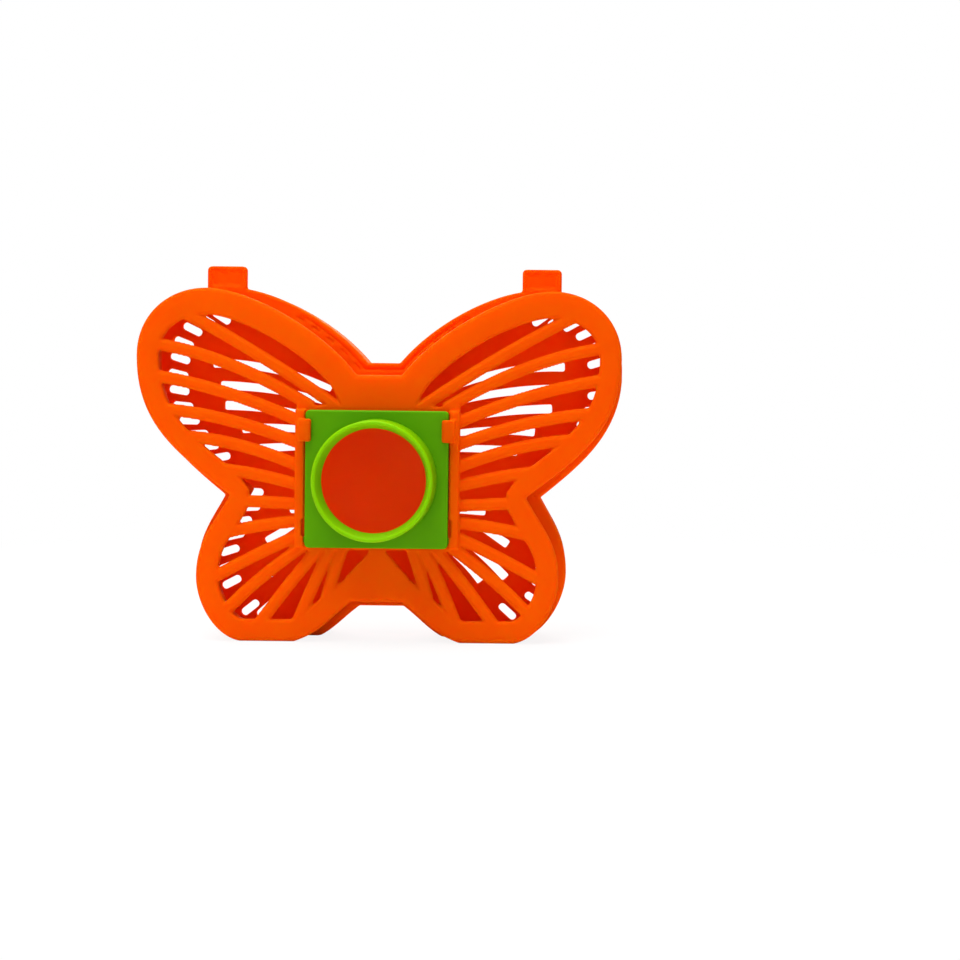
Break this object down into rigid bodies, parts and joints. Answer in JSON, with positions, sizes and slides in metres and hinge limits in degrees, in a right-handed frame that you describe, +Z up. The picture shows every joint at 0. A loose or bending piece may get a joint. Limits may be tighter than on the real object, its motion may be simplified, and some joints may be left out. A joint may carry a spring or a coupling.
{
  "type": "bug box",
  "caption": "Butterfly-shaped moulded insect case in two telescoping halves, with vein-like grille wings and a sliding door that carries a round magnifying lens.",
  "frame": {"origin": "under the middle of the case, on the surface that the feet stand on, halfway between the lens ring's front and the back face", "axes": "+X to the viewer's right across the wings, +Y from the lens door towards the back, +Z up"},
  "size_m": [0.1506, 0.0364, 0.1165],
  "materials": {
    "orange_plastic": "satin moulded polypropylene",
    "green_plastic": "satin moulded polypropylene",
    "clear_lens": "clear polished acrylic"
  },
  "bodies": {
    "shell": {"back_shell": "orange_plastic"},
    "cover": {"front_cover": "orange_plastic"},
    "door": {"lens_door": "green_plastic", "lens": "clear_lens"}
  },
  "joints": [
    {"name": "cover_pull", "type": "slide", "parent": "shell", "child": "cover", "axis": [0, -1, 0], "range_m": [0, 0.03]},
    {"name": "door_slide", "type": "slide", "parent": "cover", "child": "door", "axis": [0, 0, 1], "range_m": [0, 0.029]}
  ]
}
